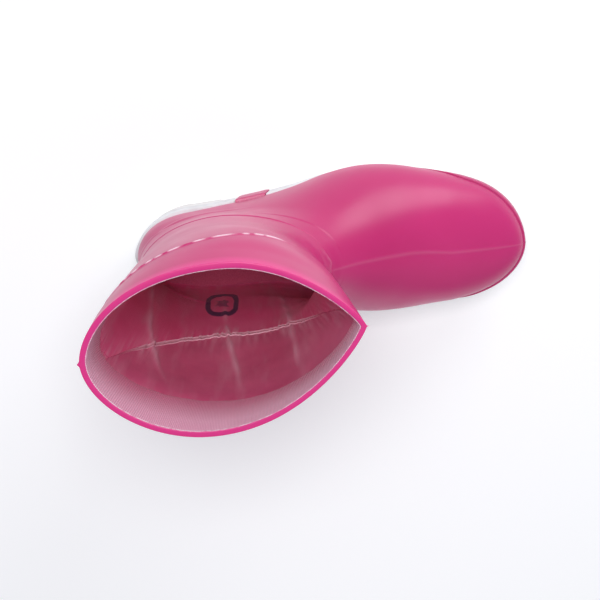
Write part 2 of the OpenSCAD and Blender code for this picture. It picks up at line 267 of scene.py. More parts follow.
def finishMesh(piece, smoothAngle):
    pick(piece)
    bpy.ops.object.mode_set(mode="EDIT")
    bpy.ops.mesh.select_all(action="SELECT")
    bpy.ops.mesh.remove_doubles(threshold=meshValues["mergeGap"])
    bpy.ops.mesh.normals_make_consistent(inside=False)
    bpy.ops.object.mode_set(mode="OBJECT")
    bpy.ops.object.shade_smooth_by_angle(angle=math.radians(smoothAngle))


def gridFaces(rows, turns, wrapRows=False):
    faces = []
    for i in range(rows if wrapRows else rows - 1):
        for k in range(turns):
            n = (k + 1) % turns
            j = (i + 1) % rows
            faces.append((i * turns + k, i * turns + n, j * turns + n, j * turns + k))
    return faces


def tube(name, rows, poles=False, smoothAngle=40, paintMask=None):
    # a solid from closed rows of points; with poles each end closes to a point,
    # otherwise the last row meets the first
    turns = len(rows[0])
    points = [p for row in rows for p in row]
    faces = gridFaces(len(rows), turns, wrapRows=not poles)
    if poles:
        for start in (0, (len(rows) - 1) * turns):
            points.append(sum((points[start + k] for k in range(turns)), Vector()) / turns)
            paintMask = paintMask + [0.0] if paintMask else None
            faces += [(start + k, start + (k + 1) % turns, len(points) - 1) for k in range(turns)]
    return newPiece(name, points, faces, smoothAngle, paintMask)


def strip(name, sections):
    # a bar through a row of closed sections, with flat ends
    turns = len(sections[0])
    points = [p for section in sections for p in section]
    faces = gridFaces(len(sections), turns)
    faces.append(tuple(range(turns)))
    faces.append(tuple(range(len(points) - turns, len(points))))
    return newPiece(name, points, faces)


def steps(start, end, count):
    return [start + (end - start) * i / count for i in range(count + 1)]


def bell(distance, width):
    return math.exp(-(distance / width) ** 2)


def anglesOf(count):
    return [2 * math.pi * k / count for k in range(count)]


# the moulded shell: heights in millimetres, places in rings, and bearings in degrees from the front
shellValues = {
    "turns": 240,
    "wall": 2.6, "rim": 0.5, "lip": 3.6,
    "trimHeight": 0.9, "trimBack": 1.9, "trimFront": 2.5, "trimWide": 0.03,
    "ankleRing": 6.25, "ankleStep": 0.6,
    "heelZ": 60, "heelHeight": 0.55, "heelWide": 1.6,
    "seamHeight": 0.22, "seamHighlight": 0.05, "seamWide": 0.8, "backSeamWide": 1.2,
    "creaseRing": 6.2, "creaseBearing": 8, "creaseSlope": 0.018, "creaseHeight": 0.8,
    "dentRing": 5.7, "dentDepth": 0.9,
    "nub": 1.6, "nubWide": 1.6,
    "wobble": 0.3, "wobbleScale": 0.018,
}


def bearingOf(angle):
    return (math.degrees(angle) + 180) % 360 - 180


def trimPlace(bearing):
    v = shellValues
    return v["trimBack"] + (v["trimFront"] - v["trimBack"]) * (1 - ease(55, 118, abs(bearing)))


def ankleCrease(u, bearing, wide):
    # the bent crease at the front of the ankle
    v = shellValues
    return bell(u - v["creaseRing"] + v["creaseSlope"] * abs(bearing - v["creaseBearing"]), wide)


def shellHighlight(u, bearing):
    # a painted highlight in dashes along the trim line on the outer side; a fainter painted
    # highlight along the vamp's seam and the crease
    v = shellValues
    dashes = ease(-0.14, 0.04, noise.noise(Vector((bearing * 0.2, 3.1, 0))))
    pale = dashes * bell(u - trimPlace(bearing), v["trimWide"]) * between(bearing, 58, 66, 150, 160)
    crease = ankleCrease(u, bearing, 0.05) * bell(bearing - 10, 9)
    seam = bell(bearing, v["seamWide"]) * ease(6.1, 6.4, u)
    return min(1, pale + v["seamHighlight"] * (seam + 2 * crease))


def shellRelief(u, angle, point):
    # how far the moulded lines and the slight waviness stand off the plain wall
    v = shellValues
    bearing = bearingOf(angle)
    side = abs(bearing)
    trim = 0.3 + 0.7 * between(side, 56, 68, 148, 162)
    rise = v["trimHeight"] * bell(u - trimPlace(bearing), v["trimWide"]) * trim
    ankle = v["ankleRing"]
    if u > ankle - 0.04:
        step = v["ankleStep"] * (0.3 + 0.7 * ease(25, 75, side))
        rise += step * between(u, ankle - 0.03, ankle + 0.03, ankle + 0.1, ankle + 2.2)
    rise += v["heelHeight"] * bell(point.z - v["heelZ"], v["heelWide"]) * (1 - ease(30, 62, point.x))
    rise += v["seamHeight"] * bell(bearing, v["seamWide"]) * ease(6.0, 7.0, u)
    rise += v["seamHeight"] * bell(side - 180, v["backSeamWide"]) * between(u, 0, 1, 8, 9)
    rise += v["nub"] * (bell(bearing, v["nubWide"]) + bell(side - 180, v["nubWide"])) * bell(u, 0.09)
    rise += v["creaseHeight"] * ankleCrease(u, bearing, 0.07) * bell(bearing - 14, 12)
    rise -= v["dentDepth"] * bell(u - v["dentRing"], 0.2) * bell(bearing - 12, 22)
    rise += v["wobble"] * noise.noise(point * v["wobbleScale"])
    return rise


def shellRow(u, inset):
    # the relief fades out over the first millimetre of the wall
    row = []
    for angle in anglesOf(shellValues["turns"]):
        point = skin(u, angle, inset)
        if inset < 1:
            point = skin(u, angle, inset - shellRelief(u, angle, point) * (1 - inset))
        row.append(point)
    return row


def makeShell():
    v = shellValues
    places = [toeEnd - 0.03, toeEnd - 0.12, toeEnd - 0.25]
    places += [toeEnd - 0.25 * i for i in range(2, 4 * foot["toeRings"])]
    places += [lastRing - i / 8 for i in range(8 * lastRing)]
    places += steps(v["trimBack"] - 0.08, v["trimFront"] + 0.08, 50)
    places += [v["ankleRing"] + d for d in (-0.06, -0.035, -0.015, 0.015, 0.035, 0.06)]
    places += steps(0.06, 0.3, 6) + steps(6.5, 9, 40)
    places = [u for u in sorted(set(places), reverse=True) if u > 0.06]
    rows = [shellRow(u, 0) for u in places]
    bearings = [bearingOf(angle) for angle in anglesOf(v["turns"])]
    # a painted highlight along the trim line, the vamp's seam and the crease, kept at each point
    paintMask = [shellHighlight(u, bearing) for u in places for bearing in bearings]
    rim, lip = v["rim"], v["lip"]
    edge = ((0.05, 0), (0.02, 0.05), (0.006, rim * 0.4), (0, rim), (0, lip - rim),
            (0.01, lip - rim * 0.3), (0.03, lip), (0.055, lip), (0.07, lip - rim), (0.08, v["wall"]))
    rows += [shellRow(u, inset) for u, inset in edge]
    inner = [i / 2 for i in range(1, 2 * lastRing + 1)] + [lastRing + i for i in range(1, foot["toeRings"])]
    rows += [shellRow(u, v["wall"]) for u in inner + [toeEnd - 0.2]]
    paintMask += [0.0] * (len(rows) * v["turns"] - len(paintMask))
    shell = tube("shell_moulding", rows, poles=True, smoothAngle=60, paintMask=paintMask)
    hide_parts("shell")
    return shell


# the bands round the sole
soleValues = {
    "foxingThick": 2.4, "foxingHigh": 13, "foxingRound": 0.7,
    "ledgeTilt": 0.4, "ledgeThick": 3, "ledgeOverlap": 1.4,
    "tabFrom": 39, "tabTo": 61, "tabRake": 5, "rakeTop": 40, "tabProud": 0.9, "tabGap": 0.6, "tabSteps": 10,
    "bumperFromOuter": 169, "bumperFromInner": 175, "bumperHigh": 11, "bumperProud": 1.5,
    "rayStart": 25, "rayMiss": 6.0,
}


def wallDistance(tree, spot, normal, z):
    # how far in from the sole's outline the shell's wall stands at one height
    out = soleValues["rayStart"]
    start = Vector((spot.x + normal.x * out, spot.y + normal.y * out, z)) * mm
    hit = tree.ray_cast(start, Vector((-normal.x, -normal.y, 0)))
    return hit[3] / mm - out if hit[0] is not None else soleValues["rayMiss"]


def outlineFrame(side, place):
    # a point of the sole's outline and the direction outwards from it
    step = 0.004
    spot = outlinePoint(side, place)
    ahead = outlinePoint(side, min(place + step, 3))
    behind = outlinePoint(side, max(place - step, 0))
    run = (ahead - behind).normalized()
    normal = Vector((-run.y, run.x)) * side
    return spot, normal


def rakedPlace(place, z):
    # moves a cut at an arch tab forwards as it goes down
    v = soleValues
    return place + v["tabRake"] * 2 * (v["rakeTop"] - z) / v["rakeTop"] / (foot["toeStart"] - foot["knotX"])


def bandSection(tree, side, place, proud, raked):
    # a cut through the band: round edges outside, and a ledge that reaches in to the shell
    v = soleValues
    spot, normal = outlineFrame(side, place)
    top = along("edge", spot.x)
    base = top - v["foxingHigh"]
    reach = max(wallDistance(tree, spot, normal, top) + v["ledgeOverlap"], v["foxingThick"])
    r = v["foxingRound"]
    profile = [(v["foxingThick"], base), (r, base), (r * 0.3, base + r * 0.3), (0, base + r),
               (0, base + (top - base) * 0.35), (0, base + (top - base) * 0.7), (0, top - r),
               (r * 0.3, top - r * 0.3), (r, top), (reach, top + v["ledgeTilt"]),
               (reach, top - v["ledgeThick"]), (v["foxingThick"], top - v["ledgeThick"])]
    section = []
    for inset, z in profile:
        at = rakedPlace(place, z) if raked else place
        here, out = outlineFrame(side, min(at, 3))
        depth = inset if inset > r * 1.01 else inset - proud
        section.append(Vector((here.x - out.x * depth, here.y - out.y * depth, z)))
    return section


def makeFoxings(tree):
    v = soleValues
    back = placeOfX(v["tabFrom"] - v["tabGap"])
    front = placeOfX(v["tabTo"] + v["tabGap"])
    rear = [bandSection(tree, 1, p, 0, p > 1) for p in reversed(steps(0, back, 44))]
    rear += [bandSection(tree, -1, p, 0, p > 1) for p in steps(0, back, 44)[1:]]
    piece = strip("foxing_rear", rear)
    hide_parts("rear_foxing")
    ahead = [bandSection(tree, 1, p, 0, p < 1.6) for p in steps(front, 3, 110)]
    ahead += [bandSection(tree, -1, p, 0, p < 1.6) for p in reversed(steps(front, 3, 110))][1:]
    piece = strip("foxing_front", ahead)
    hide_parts("front_foxing")
    for side, node in ((1, "arch_tab_outer"), (-1, "arch_tab_inner")):
        sections = []
        for i, place in enumerate(steps(placeOfX(v["tabFrom"]), placeOfX(v["tabTo"]), v["tabSteps"])):
            proud = v["tabProud"] * (1 if 0 < i < v["tabSteps"] else 0.6)
            sections.append(bandSection(tree, side, place, proud, True))
        piece = strip(node.replace("arch_tab", "tab"), sections)
        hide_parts(node)


def makeBumper(tree):
    # a band on the shell that swells towards the toe; height and depth are parts of its size,
    # and a negative depth is in millimetres inside the shell's wall
    v = soleValues
    profile = ((0, -1.2), (0, 0.75), (0.04, 0.95), (0.12, 1), (0.35, 1.0), (0.6, 1.0), (0.85, 1.0),
               (0.94, 0.93), (1, 0.7), (1.0, 0), (0.99, -1.2))
    startOuter, startInner = placeOfX(v["bumperFromOuter"]), placeOfX(v["bumperFromInner"])
    stations = [(1, place, startOuter) for place in steps(startOuter, 3, 90)]
    stations += [(-1, place, startInner) for place in reversed(steps(startInner, 3, 90))][1:]
    sections = []
    for side, place, start in stations:
        spot, normal = outlineFrame(side, place)
        taper = ease(start - 0.01, start + 0.34, place)
        edge = along("edge", spot.x)
        base, top = edge + 0.1, edge + v["bumperHigh"] * (0.45 + 0.55 * taper)
        proud = v["bumperProud"] * (0.12 + 0.88 * taper)
        section = []
        for height, out in profile:
            z = base + (top - base) * height
            depth = wallDistance(tree, spot, normal, z) - out * (proud if out > 0 else 1)
            section.append(Vector((spot.x - normal.x * depth, spot.y - normal.y * depth, z)))
        sections.append(section)
    piece = strip("toe_bumper_band", sections)
    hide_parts("toe_bumper")


# the linings; each crease is a row of places along x, for the rings from creaseFrom down
liningValues = {
    "turns": 340,
    "depth": 2.9, "thick": 1.1,
    "cuffEnd": 1.75, "cuffRise": 0.75, "ruffle": 0.05, "cuffProud": 0.9,
    "seamRing": 4.95, "seamFront": 2.8, "seamBack": 4.2,
    "pucker": 1.3, "puckerWide": 0.6, "loose": 0.7, "creaseWide": 1.5, "creaseHigh": 1.7, "creaseFrom": 2,
    "legRise": 0.8,
    "creases": ((-1, -12, -18, -20, -21, -22, -22, -22), (44, 40, 36, 32.5, 31, 30, 29, 28.5),
                (80, 79, 78, 76.5, 75.5, 74, 72.5, 71)),
}


def frontCorner(angle):
    # 1 at the mouth's front corner, fading quickly to both sides
    return max(math.cos(angle), 0) ** 6


def seamPlace(angle):
    v = liningValues
    fromSide = abs(math.degrees(angle) % 180 - 90) / 90
    rise = v["seamFront"] * fromSide ** 2.4 if math.cos(angle) > 0 else v["seamBack"] * fromSide ** 1.6
    return max(v["seamRing"] - rise, v["cuffEnd"] + 0.2)


def creaseAt(u, angle):
    # soft creases that run down the inner side's wall
    if math.sin(angle) > 0:
        return 0.0
    v = liningValues
    x = skin(u, angle, v["depth"]).x
    crease = 0.0
    for path in v["creases"]:
        away = x - smooth(path, u - v["creaseFrom"]) - 1.2 * noise.noise(Vector((u * 1.1, path[0], 0)))
        strength = 0.75 + 0.8 * noise.noise(Vector((u * 1.3, path[0], 5)))
        crease += (bell(away, v["creaseWide"]) + 0.22 * bell(away, 4 * v["creaseWide"])) * strength
    return max(crease, 0) * ease(2.1, 3.0, u) * (1 - 0.6 * ease(5.6, 6.8, u)) * (1 - ease(8, 9.5, u))


def puckerAt(u, angle):
    # gathers on both sides of the seam
    away = u - seamPlace(angle)
    gather = noise.noise(Vector((math.degrees(angle) * 0.5, away * 1.2, 7.7)))
    return gather * bell(away, liningValues["puckerWide"])


def liningRelief(u, angle):
    # puckers, creases and a slight looseness, fading out under the cuff
    v = liningValues
    rise = v["pucker"] * puckerAt(u, angle) + v["creaseHigh"] * creaseAt(u, angle)
    rise += v["loose"] * noise.noise(Vector((math.degrees(angle) * 0.06, u * 0.7, 1.3)))
    return rise * ease(v["cuffEnd"] - 0.1, v["cuffEnd"] + 0.6, u + v["legRise"] * frontCorner(angle))


def liningShine(place):
    # where a highlight is painted on the satin: along creases and puckers
    shine = []
    for angle in anglesOf(liningValues["turns"]):
        u = place(angle)
        shine.append(min(1.0, 0.9 * creaseAt(u, angle) + 0.9 * max(puckerAt(u, angle), 0)))
    return shine


def liningRow(place, inset, relief=False):
    row = []
    for angle in anglesOf(liningValues["turns"]):
        u = place(angle)
        deeper = max(0.0, liningRelief(u, angle)) if relief else 0.0
        row.append(skin(u, angle, inset + deeper))
    return row


def blendPlace(start, end, t):
    return lambda angle: start(angle) + (end(angle) - start(angle)) * t


def flat(u):
    return lambda angle: u


def makeCuff():
    # the knitted band inside the mouth, its lower edge a little wavy and loose
    v = liningValues
    inner, outer = v["depth"] + v["thick"], v["depth"]

    def top(angle):
        return 0.02 + 0.02 * noise.noise(Vector((math.degrees(angle) * 0.6, 0.3, 0)))

    def bottom(angle):
        wave = noise.noise(Vector((math.degrees(angle) * 0.11, 9.0, 0)))
        return v["cuffEnd"] + v["ruffle"] * wave - v["cuffRise"] * frontCorner(angle)
    upper, lower = steps(0.02, 0.7, 12), steps(0.75, 1, 8)
    rows = [liningRow(top, outer + 0.3), liningRow(top, inner)]
    rows += [liningRow(blendPlace(top, bottom, t), inner) for t in upper]
    for t in lower:
        place = blendPlace(top, bottom, t)
        row = []
        for angle in anglesOf(v["turns"]):
            loose = 0.75 + 0.3 * noise.noise(Vector((math.degrees(angle) * 0.2, 4.0, t)))
            row.append(skin(place(angle), angle, inner + v["cuffProud"] * ease(0.75, 1, t) * loose))
        rows.append(row)
    rows += [liningRow(bottom, outer + 0.6), liningRow(blendPlace(top, bottom, 0.9), outer)]
    rows += [liningRow(blendPlace(top, bottom, t), outer) for t in (0.6, 0.3)]
    # how far down the band each row lies: the knit's painted shade and its frayed top edge follow it
    down = [0.05, 0] + upper + lower + [1, 1, 1, 1]
    paintMask = [value for value in down for k in range(v["turns"])]
    piece = tube("cuff_knit_band", rows, smoothAngle=70, paintMask=paintMask)
    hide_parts("lining_cuff")


def makeLegLining():
    v = liningValues
    inner, outer = v["depth"] + v["thick"], v["depth"]

    def start(angle):
        return v["cuffEnd"] - 0.12 - v["legRise"] * frontCorner(angle)
    places = [blendPlace(start, seamPlace, t) for t in steps(0, 1, 60)]
    rows = [liningRow(place, inner, True) for place in places]
    shine = [value for place in places for value in liningShine(place)]
    rows += [liningRow(blendPlace(start, seamPlace, t), outer) for t in reversed(steps(0, 1, 10))]
    shine += [0.0] * (len(rows) * v["turns"] - len(shine))
    piece = tube("leg_lining", rows, smoothAngle=70, paintMask=shine)
    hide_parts("lining_leg")


def makeFootLining():
    # a sock: from the toe's tip up the inner face, then down the outer face to the tip again
    v = liningValues
    inner, outer = v["depth"] + v["thick"], v["depth"]
    end = flat(lastRing)
    places = [blendPlace(seamPlace, end, t) for t in reversed(steps(0, 1, 110))]
    rows = [liningRow(flat(lastRing + i / 2), inner) for i in range(1, 2 * foot["toeRings"])]
    rows.append(liningRow(flat(toeEnd - 0.2), inner))
    rows.reverse()
    shine = [0.0] * (len(rows) * v["turns"])
    rows += [liningRow(place, inner, True) for place in places]
    shine += [value for place in places for value in liningShine(place)]
    rows += [liningRow(blendPlace(seamPlace, end, t), outer) for t in steps(0, 1, 16)]
    rows += [liningRow(flat(lastRing + i), outer) for i in range(1, foot["toeRings"])]
    rows.append(liningRow(flat(toeEnd - 0.15), outer))
    shine += [0.0] * (len(rows) * v["turns"] - len(shine))
    piece = tube("foot_lining", rows, poles=True, smoothAngle=70, paintMask=shine)
    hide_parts("lining_foot")


# the seam's tape: its profile is a row of places across it, in rings, with the height of each
tapeValues = {
    "turns": 720, "stitches": 180, "stitchDepth": 0.12, "sunk": 0.3, "edge": 0.066,
    "profile": ((-0.078, 0), (-0.074, 0.9), (-0.066, 1.1), (-0.054, 0.7), (0, 0.62),
                (0.054, 0.7), (0.066, 1.1), (0.074, 0.9), (0.078, 0)),
    "hiddenColour": (0.60, 0.08, 0.19), "shownColour": (0.92, 0.66, 0.74),
}


def makeSeam():
    # a flat tape along the seam with raised edges, drawn in a little at each stitch
    v = tapeValues
    base = liningValues["depth"] + liningValues["thick"] - v["sunk"]
    rows = []
    pale = []
    for shift, height in v["profile"]:
        row = []
        for angle in anglesOf(v["turns"]):
            degrees = math.degrees(angle)
            shown = between(degrees, 200, 222, 322, 350)
            stitch = 1 - v["stitchDepth"] * abs(math.sin(angle * v["stitches"] / 2))
            wide = (0.4 + 0.8 * shown) * (1 + 0.35 * noise.noise(Vector((degrees * 0.2, 0, 0))))
            u = seamPlace(angle) + shift * wide
            deeper = max(0.0, liningRelief(u, angle))
            row.append(skin(u, angle, base + deeper + height * stitch * (0.5 + 0.5 * shown)))
            patchy = 0.7 + 0.6 * noise.noise(Vector((degrees * 0.9, shift * 30, 2)))
            edge = bell(abs(shift) - v["edge"], 0.012) * patchy
            pale.append(shown * (0.55 + 0.45 * edge))
        rows.append(row)
    piece = tube("lining_welt", rows, smoothAngle=80, paintMask=pale)
    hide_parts("lining_seam_tape")


def bevelCopy(node, name, width):
    # a merged copy of a frame node with its edges broken
    v = meshValues
    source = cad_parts[node]
    piece = bpy.data.objects.new(name, source.data.copy())
    bpy.context.scene.collection.objects.link(piece)
    pick(piece)
    bpy.ops.object.mode_set(mode="EDIT")
    bpy.ops.mesh.select_all(action="SELECT")
    bpy.ops.mesh.remove_doubles(threshold=v["nodeMergeGap"])
    bpy.ops.mesh.dissolve_limited(angle_limit=math.radians(v["flatAngle"]))
    bpy.ops.object.mode_set(mode="OBJECT")
    bevel = piece.modifiers.new("edges", "BEVEL")
    bevel.width = width * mm
    bevel.segments = 2
    bevel.limit_method = "ANGLE"
    bevel.angle_limit = math.radians(v["edgeAngle"])
    bpy.ops.object.modifier_apply(modifier="edges")
    bpy.ops.object.shade_smooth_by_angle(angle=math.radians(v["smoothAngle"]))
    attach(piece, "root")
    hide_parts(node)


# materials

def newMaterial(name):
    material = bpy.data.materials.new(name)
    material.use_nodes = True
    tree = material.node_tree
    shader = tree.nodes["Principled BSDF"]
    return material, tree, shader


def setSockets(shader, values):
    for key, value in values.items():
        shader.inputs[key].default_value = value


def addNode(tree, kind, **settings):
    # a setting is the value of the node's socket of that name, or else a property of the node
    node = tree.nodes.new(kind)
    for key, value in settings.items():
        if key in node.inputs:
            node.inputs[key].default_value = value
        else:
            setattr(node, key, value)
    return node


def objectPoint(tree, scale=(1, 1, 1)):
    coordinates = addNode(tree, "ShaderNodeTexCoord")
    mapping = addNode(tree, "ShaderNodeMapping", Scale=scale)
    tree.links.new(coordinates.outputs["Object"], mapping.inputs["Vector"])
    return mapping.outputs["Vector"]


def axesOf(tree, vector):
    parts = addNode(tree, "ShaderNodeSeparateXYZ")
    tree.links.new(vector, parts.inputs["Vector"])
    return parts.outputs


def paintMaskOf(tree):
    # the piece's own mask for painted colour, kept at each point of its mesh: painted highlights on the
    # shell and satin, painted shade down the knit band, and the tape's pale colour
    return addNode(tree, "ShaderNodeAttribute", attribute_name="paintMask").outputs["Fac"]


def colourMix(tree, factor, first, second):
    mix = addNode(tree, "ShaderNodeMix", data_type="RGBA")
    tree.links.new(factor, mix.inputs["Factor"])
    for socket, colour in ((mix.inputs["A"], first), (mix.inputs["B"], second)):
        if isinstance(colour, tuple):
            socket.default_value = (*colour, 1)
        else:
            tree.links.new(colour, socket)
    return mix.outputs["Result"]


def ramp(tree, value, low, high, toLow=0.0, toHigh=1.0):
    sockets = {"From Min": low, "From Max": high, "To Min": toLow, "To Max": toHigh}
    node = addNode(tree, "ShaderNodeMapRange", **sockets)
    tree.links.new(value, node.inputs["Value"])
    return node.outputs["Result"]


def noiseTexture(tree, vector, scale, detail=3.0, roughness=0.5):
    node = addNode(tree, "ShaderNodeTexNoise", Scale=scale, Detail=detail, Roughness=roughness)
    tree.links.new(vector, node.inputs["Vector"])
    return node.outputs["Fac"]


def calculate(tree, operation, first, second=None, clamp=False):
    node = addNode(tree, "ShaderNodeMath", operation=operation, use_clamp=clamp)
    for i, value in enumerate((first, second)):
        if value is None:
            continue
        if isinstance(value, (int, float)):
            node.inputs[i].default_value = value
        else:
            tree.links.new(value, node.inputs[i])
    return node.outputs["Value"]


def bump(tree, shader, height, distance, strength, under=None):
    node = addNode(tree, "ShaderNodeBump", Distance=distance, Strength=strength)
    tree.links.new(height, node.inputs["Height"])
    if under is not None:
        tree.links.new(under, node.inputs["Normal"])
    tree.links.new(node.outputs["Normal"], shader.inputs["Normal"])
    return node.outputs["Normal"]


pvcValues = {
    "deep": (0.50, 0.014, 0.138), "bright": (0.56, 0.020, 0.162),
    "bumperDeep": (0.46, 0.013, 0.125), "bumperBright": (0.52, 0.018, 0.148),
    # the pale colour is a painted highlight for the raised lines; lip is the rim's top painted brighter as
    # painted light
    "wornAndHighlight": (0.95, 0.80, 0.88), "lip": (0.70, 0.028, 0.225), "lipFrom": 0.009, "lipFull": 0.003,
    "roughness": (0.30, 0.38),
    "sockets": {
        "IOR": 1.5, "Subsurface Weight": 0.12,
        "Subsurface Radius": (0.006, 0.0012, 0.0025), "Subsurface Scale": 1.0,
    },
}


def pvcMaterial(name, deep, bright, wornAndHighlight):
    # glossy vinyl; with the flag, painted light goes on: the rim's top is painted brighter, and painted
    # highlights go along the raised lines
    v = pvcValues
    material, tree, shader = newMaterial(name)
    point = objectPoint(tree)
    cloud = noiseTexture(tree, point, 9, 3)
    colour = colourMix(tree, ramp(tree, cloud, 0.35, 0.65), deep, bright)
    smear = noiseTexture(tree, point, 30, 3, 0.5)
    roughness = ramp(tree, smear, 0.35, 0.7, *v["roughness"])
    if wornAndHighlight:
        # the top of the rim is painted brighter and more saturated: painted light where it faces the lamps
        top = legTop * mm
        lip = ramp(tree, axesOf(tree, point)["Z"], top - v["lipFrom"], top - v["lipFull"], 0, 0.85)
        colour = colourMix(tree, lip, colour, v["lip"])
        # painted highlight on the trim line, the vamp's seam and the crease
        paintMask = calculate(tree, "MULTIPLY", paintMaskOf(tree), 0.95, clamp=True)
        colour = colourMix(tree, paintMask, colour, v["wornAndHighlight"])
    tree.links.new(colour, shader.inputs["Base Color"])
    tree.links.new(roughness, shader.inputs["Roughness"])
    setSockets(shader, v["sockets"])
    grain = noiseTexture(tree, point, 900, 2, 0.5)
    bump(tree, shader, grain, 0.00002, 0.3)
    return material


rubberValues = {
    "foxing": (0.78, 0.79, 0.80), "foxingDust": (0.58, 0.57, 0.58), "foxingRoughness": (0.38, 0.6),
    "foxingSockets": {"Subsurface Weight": 0.1, "Subsurface Radius": (0.003, 0.003, 0.003)},
    "sole": (0.80, 0.79, 0.79), "soleDirt": (0.42, 0.37, 0.34), "soleRoughness": 0.58, "dirtHigh": 0.006,
}


def foxingMaterial():
    v = rubberValues
    material, tree, shader = newMaterial("foxingRubber")
    point = objectPoint(tree)
    dust = noiseTexture(tree, point, 30, 5, 0.6)
    colour = colourMix(tree, ramp(tree, dust, 0.42, 0.75), v["foxing"], v["foxingDust"])
    tree.links.new(colour, shader.inputs["Base Color"])
    tree.links.new(ramp(tree, dust, 0.3, 0.7, *v["foxingRoughness"]), shader.inputs["Roughness"])
    setSockets(shader, v["foxingSockets"])
    grain = noiseTexture(tree, point, 900, 3)
    bump(tree, shader, grain, 0.00006, 0.5)
    return material


def soleMaterial():
    # pale rubber with dirt on the tread
    v = rubberValues
    material, tree, shader = newMaterial("soleRubber")
    point = objectPoint(tree)
    dust = noiseTexture(tree, point, 24, 6, 0.65)
    low = ramp(tree, axesOf(tree, point)["Z"], 0.0, v["dirtHigh"], 0.75, 0.1)
    dirt = calculate(tree, "MULTIPLY", ramp(tree, dust, 0.35, 0.7), low, clamp=True)
    colour = colourMix(tree, dirt, v["sole"], v["soleDirt"])
    tree.links.new(colour, shader.inputs["Base Color"])
    shader.inputs["Roughness"].default_value = v["soleRoughness"]
    grain = noiseTexture(tree, point, 700, 3)
    bump(tree, shader, grain, 0.0001, 0.5)
    return material


knitValues = {
    "ribs": 360, "stitchRows": 5200, "middle": (-0.036, 0.003, 0),
    "light": (0.88, 0.45, 0.60), "dark": (0.60, 0.19, 0.32),
    # low is painted shade for the band's lower part; edge is the white of the frayed top
    "low": (0.54, 0.085, 0.185), "edge": (0.95, 0.86, 0.90),
    "sockets": {
        "Roughness": 0.85, "Sheen Weight": 0.5, "Sheen Roughness": 0.5, "Sheen Tint": (1.0, 0.75, 0.85, 1),
    },
}


def knitMaterial():
    # fine ribs that run down the band, each a chain of stitches
    material, tree, shader = newMaterial("cuffKnit")
    v = knitValues

    def scaled(value, factor, plus=0):
        return calculate(tree, "ADD", calculate(tree, "MULTIPLY", value, factor), plus)
    point = addNode(tree, "ShaderNodeTexCoord").outputs["Object"]
    mapping = addNode(tree, "ShaderNodeMapping", Location=v["middle"])
    tree.links.new(point, mapping.inputs["Vector"])
    radial = addNode(tree, "ShaderNodeTexGradient", gradient_type="RADIAL")
    tree.links.new(mapping.outputs["Vector"], radial.inputs["Vector"])
    turn = scaled(radial.outputs["Fac"], v["ribs"] * 2 * math.pi)
    turn = calculate(tree, "ADD", turn, scaled(noiseTexture(tree, point, 60, 2), 5.0))
    rib = ramp(tree, calculate(tree, "SINE", turn), -1, 1)
    rows = ramp(tree, calculate(tree, "SINE", scaled(axesOf(tree, point)["Z"], v["stitchRows"])), -1, 1)
    stitch = calculate(tree, "MULTIPLY", rib, scaled(rows, 0.45, 0.55))
    stain = noiseTexture(tree, point, 22, 4, 0.6)
    stained = ramp(tree, stain, 0.3, 0.7, 0.75, 1.15)
    shade = calculate(tree, "MULTIPLY", scaled(stitch, 0.6, 0.35), stained, clamp=True)
    colour = colourMix(tree, shade, v["dark"], v["light"])
    down = paintMaskOf(tree)
    # painted shade: the knit darkens towards the band's lower edge, deeper in the leg, in patches
    patchy = calculate(tree, "ADD", down, scaled(stain, 0.35))
    colour = colourMix(tree, ramp(tree, patchy, 0.55, 1.15, 0, 0.95), colour, v["low"])
    fray = ramp(tree, noiseTexture(tree, point, 260, 2), 0.42, 0.5)
    edge = calculate(tree, "MULTIPLY", ramp(tree, down, 0.0, 0.02, 0.9, 0), fray)
    colour = colourMix(tree, edge, colour, v["edge"])
    tree.links.new(colour, shader.inputs["Base Color"])
    setSockets(shader, v["sockets"])
    bump(tree, shader, stitch, 0.0005, 0.8)
    return material


satinValues = {
    "legDeep": (0.56, 0.070, 0.175), "legBright": (0.74, 0.130, 0.275),
    # the foot's satin is the leg's cloth painted brighter: painted light against the shade deep in the boot
    "footLitDeep": (0.80, 0.085, 0.245), "footLitBright": (0.90, 0.150, 0.340),
    # the next two colours are painted light: a sheen for the streaks and a highlight for creases and puckers
    "streakSheen": (0.74, 0.38, 0.48), "shine": (0.90, 0.55, 0.66),
    "print": (0.030, 0.022, 0.085), "printX": (0.028, 0.0115), "printZ": (0.073, 0.0215), "printSquare": 3.2,
    "sockets": {
        "Roughness": 0.42, "Sheen Weight": 0.2, "Sheen Roughness": 0.35, "Sheen Tint": (1.0, 0.6, 0.75, 1),
    },
}


def satinMaterial(name, deep, bright, printed):
    # smooth cloth with fine weave and wrinkles, with a painted sheen in streaks and a painted highlight
    # along creases and puckers
    material, tree, shader = newMaterial(name)
    v = satinValues
    point = objectPoint(tree)
    cloud = noiseTexture(tree, point, 20, 4, 0.6)
    colour = colourMix(tree, ramp(tree, cloud, 0.35, 0.68), deep, bright)
    # painted sheen in long streaks down the satin
    streak = noiseTexture(tree, objectPoint(tree, (90, 90, 14)), 1, 3)
    streakSheen = calculate(tree, "MULTIPLY", ramp(tree, streak, 0.52, 0.74), 0.35)
    colour = colourMix(tree, streakSheen, colour, v["streakSheen"])
    # painted highlight along the creases and puckers, from the mesh's mask
    shine = calculate(tree, "MULTIPLY", paintMaskOf(tree), 0.7, clamp=True)
    colour = colourMix(tree, shine, colour, v["shine"])
    if printed:
        colour = addPrint(tree, colour)
    tree.links.new(colour, shader.inputs["Base Color"])
    setSockets(shader, v["sockets"])
    weave = addNode(tree, "ShaderNodeTexWave", wave_type="BANDS", bands_direction="Z",
                    Scale=480, Distortion=2.0)
    tree.links.new(point, weave.inputs["Vector"])
    normal = bump(tree, shader, weave.outputs["Fac"], 0.00012, 0.5)
    wrinkle = noiseTexture(tree, objectPoint(tree, (70, 70, 22)), 1, 4, 0.55)
    bump(tree, shader, wrinkle, 0.0016, 0.5, normal)
    return material


